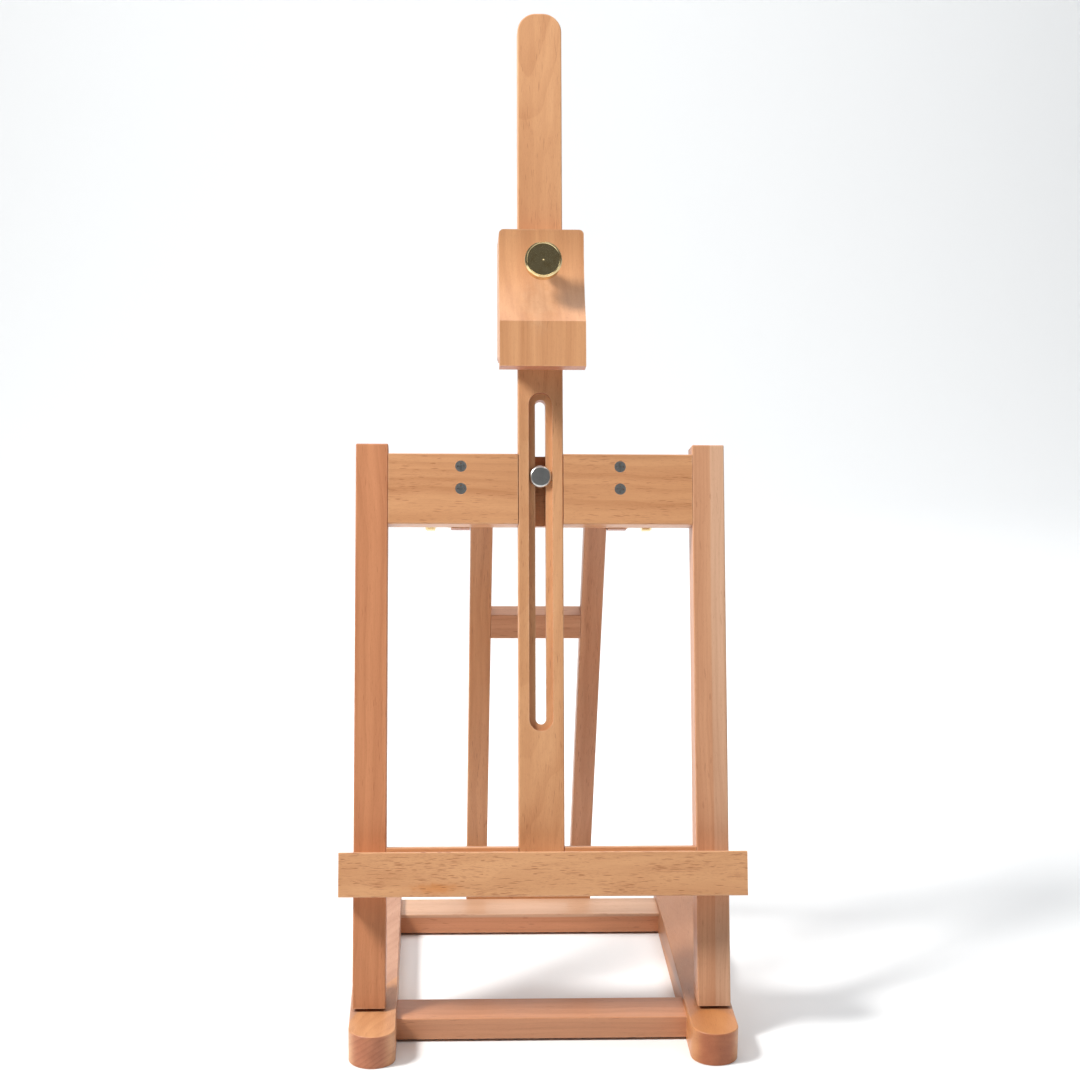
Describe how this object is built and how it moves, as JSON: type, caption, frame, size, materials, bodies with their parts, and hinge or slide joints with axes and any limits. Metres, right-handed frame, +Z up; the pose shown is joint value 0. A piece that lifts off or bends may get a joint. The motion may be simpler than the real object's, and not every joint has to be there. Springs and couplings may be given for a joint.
{
  "type": "tabletop easel",
  "caption": "Folding wooden tabletop H-frame easel: round-ended base, canvas tray, sliding mast with clamped canvas holder, and a hinged rear prop.",
  "frame": {"origin": "on the table, in the middle of the easel's width and depth", "axes": "+Z up, the artist sits in front at -Y, +X to the artist's right across the easel"},
  "size_m": [0.245, 0.262, 0.6123],
  "materials": {
    "beech": "oiled satin",
    "brass": "polished",
    "steel": "zinc plated"
  },
  "bodies": {
    "base": {"left_runner": "beech", "right_runner": "beech", "front_rail": "beech", "rear_rail": "beech", "base_dowels": "beech", "prop_stop": "beech", "stop_screws": "steel", "left_hinge_base_leaf": "brass", "right_hinge_base_leaf": "brass", "left_hinge_pin": "brass", "right_hinge_pin": "brass", "hinge_base_screws": "brass"},
    "frame": {"left_post": "beech", "right_post": "beech", "lower_crossbar": "beech", "top_crossbar": "beech", "frame_dowels": "beech", "tray": "beech", "tray_screws": "steel", "left_cheek": "beech", "right_cheek": "beech", "cheek_screws": "steel", "left_hinge_post_leaf": "brass", "right_hinge_post_leaf": "brass", "hinge_post_screws": "brass", "mast_bolt": "steel", "mast_washer": "brass"},
    "mast": {"mast": "beech"},
    "holder": {"canvas_holder": "beech", "holder_back_plate": "beech", "holder_plate_screws": "steel", "holder_insert": "brass", "pressure_shoe": "brass"},
    "holder_clamp": {"holder_knob": "brass", "holder_knob_stud": "steel"},
    "mast_clamp": {"mast_knob": "brass"},
    "prop": {"left_prop_leg": "beech", "right_prop_leg": "beech", "prop_foot_bar": "beech", "prop_rung": "beech", "prop_dowels": "beech", "tilt_bolts": "steel", "tilt_washers": "brass"},
    "left_tilt_clamp": {"left_tilt_knob": "brass"},
    "right_tilt_clamp": {"right_tilt_knob": "brass"}
  },
  "joints": [
    {"name": "frame_fold", "type": "hinge", "parent": "base", "child": "frame", "pos_m": [0, -0.07167, 0.022], "axis": [-1, 0, 0], "range_deg": [0, 72]},
    {"name": "prop_swing", "type": "hinge", "parent": "frame", "child": "prop", "pos_m": [0, 0.02686, 0.29995], "axis": [1, 0, 0], "range_deg": [0, 144]},
    {"name": "mast_slide", "type": "slide", "parent": "frame", "child": "mast", "axis": [0, 0.309, 0.9511], "range_m": [-0.045, 0.15]},
    {"name": "holder_slide", "type": "slide", "parent": "mast", "child": "holder", "axis": [0, 0.309, 0.9511], "range_m": [-0.01, 0.14]},
    {"name": "holder_knob_turn", "type": "hinge", "parent": "holder", "child": "holder_clamp", "pos_m": [0, 0.01584, 0.4602], "axis": [0, -0.9511, 0.309], "range_deg": [0, 540]},
    {"name": "mast_knob_turn", "type": "hinge", "parent": "frame", "child": "mast_clamp", "pos_m": [0, 0.03365, 0.32087], "axis": [0, 0.9511, -0.309], "range_deg": [0, 540]},
    {"name": "left_tilt_knob_turn", "type": "hinge", "parent": "prop", "child": "left_tilt_clamp", "pos_m": [-0.06, 0.02686, 0.29995], "axis": [-1, 0, 0], "range_deg": [0, 540]},
    {"name": "right_tilt_knob_turn", "type": "hinge", "parent": "prop", "child": "right_tilt_clamp", "pos_m": [0.06, 0.02686, 0.29995], "axis": [1, 0, 0], "range_deg": [0, 540]}
  ],
  "couplings": [
    {"joint": "prop_swing", "follows": "frame_fold", "ratio": 2}
  ]
}
